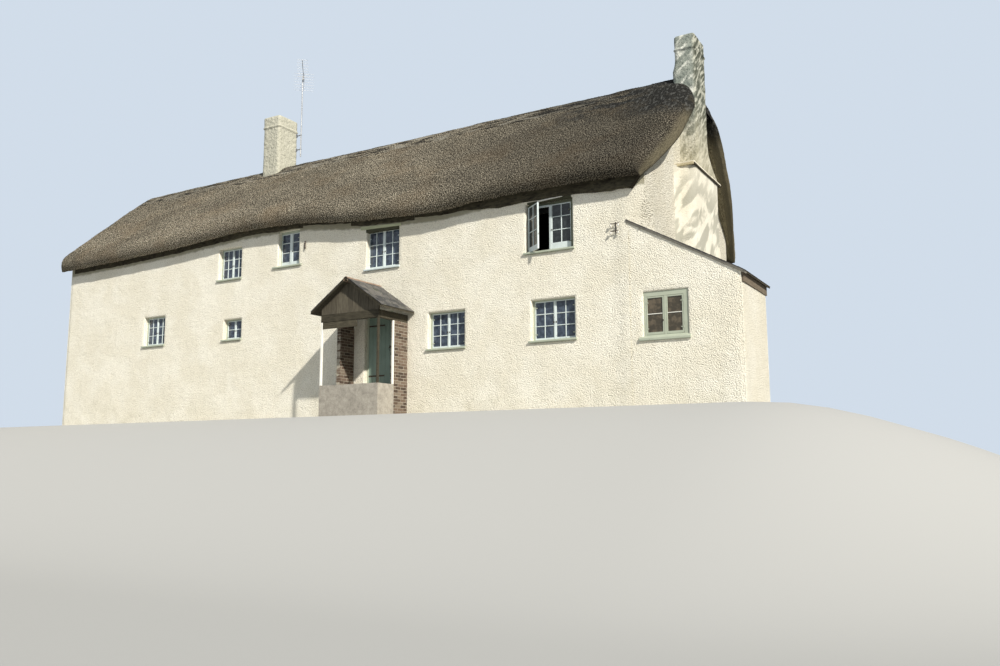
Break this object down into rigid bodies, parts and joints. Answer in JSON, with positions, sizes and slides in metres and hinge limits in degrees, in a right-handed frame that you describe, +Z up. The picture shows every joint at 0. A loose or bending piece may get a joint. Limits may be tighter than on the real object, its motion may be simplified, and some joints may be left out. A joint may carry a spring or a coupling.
{
  "type": "thatched cob cottage",
  "caption": "Long two-storey thatched cottage with cream roughcast walls, gable chimney, second stack with aerial, slate lean-to and gabled porch.",
  "frame": {"origin": "middle of the whole footprint at the lowest ground level", "axes": "+X along the ridge towards the right gable and lean-to, +Y to the back of the house, +Z up; the porch faces -Y"},
  "size_m": [23.2958, 8.475, 12.235],
  "materials": {
    "render": "warm cream roughcast lime render, pebbly and matt",
    "chimney_render": "cream painted smooth render, weathered grey in places",
    "thatch": "weathered grey-brown straw thatch, combed and mottled",
    "thatch_ridge": "darker mossy ridge thatch",
    "dark_timber": "dark weathered timber",
    "weathered_board": "bare weathered softwood board",
    "floor_boards": "worn floor boards",
    "sage_paint": "chalky grey-green painted joinery",
    "door_paint": "painted plank door",
    "window_glass": "old thin window glass",
    "slate": "old grey slates with lichen",
    "stone": "stone paving and plinth",
    "brick": "weathered red-brown brick",
    "galvanised_metal": "dull weathered metal",
    "iron": "dark painted iron"
  },
  "bodies": {
    "root": {"front_wall": "render", "rear_wall": "render", "left_gable_wall": "render", "right_gable_wall": "render", "ground_floor": "stone", "first_floor": "floor_boards", "thatch_front_slope": "thatch", "thatch_rear_slope": "thatch", "thatch_ridge": "thatch_ridge", "front_eaves_board": "dark_timber", "chimney_breast": "chimney_render", "chimney_ledge_slates": "slate", "right_chimney_stack": "chimney_render", "left_chimney_stack": "chimney_render", "aerial_mast": "galvanised_metal", "aerial": "galvanised_metal", "leanto_front_wall": "render", "leanto_side_wall": "render", "leanto_rear_wall": "render", "leanto_roof": "slate", "leanto_eaves_board": "weathered_board", "leanto_floor": "stone", "leanto_window_frame": "sage_paint", "leanto_window_sill": "sage_paint", "leanto_window_glass": "window_glass", "porch_left_wall": "brick", "porch_right_wall": "brick", "porch_floor": "stone", "porch_frame": "dark_timber", "porch_roof": "slate", "porch_gable_board": "weathered_board", "open_casement": "sage_paint", "front_door_frame": "sage_paint", "front_door": "door_paint", "back_door_frame": "sage_paint", "back_door": "door_paint", "service_bracket": "iron", "cable_anchor": "iron", "window_frame_upper_right": "sage_paint", "window_glass_upper_right": "window_glass", "window_frame_upper_middle": "sage_paint", "window_glass_upper_middle": "window_glass", "window_frame_upper_small": "sage_paint", "window_glass_upper_small": "window_glass", "window_frame_upper_left": "sage_paint", "window_glass_upper_left": "window_glass", "window_frame_lower_right": "sage_paint", "window_glass_lower_right": "window_glass", "window_frame_lower_middle": "sage_paint", "window_glass_lower_middle": "window_glass", "window_frame_lower_small": "sage_paint", "window_glass_lower_small": "window_glass", "window_frame_lower_left": "sage_paint", "window_glass_lower_left": "window_glass", "rear_window_upper_right": "sage_paint", "rear_window_upper_left": "sage_paint", "rear_window_lower_right": "sage_paint", "rear_window_lower_left": "sage_paint"}
  },
  "joints": []
}
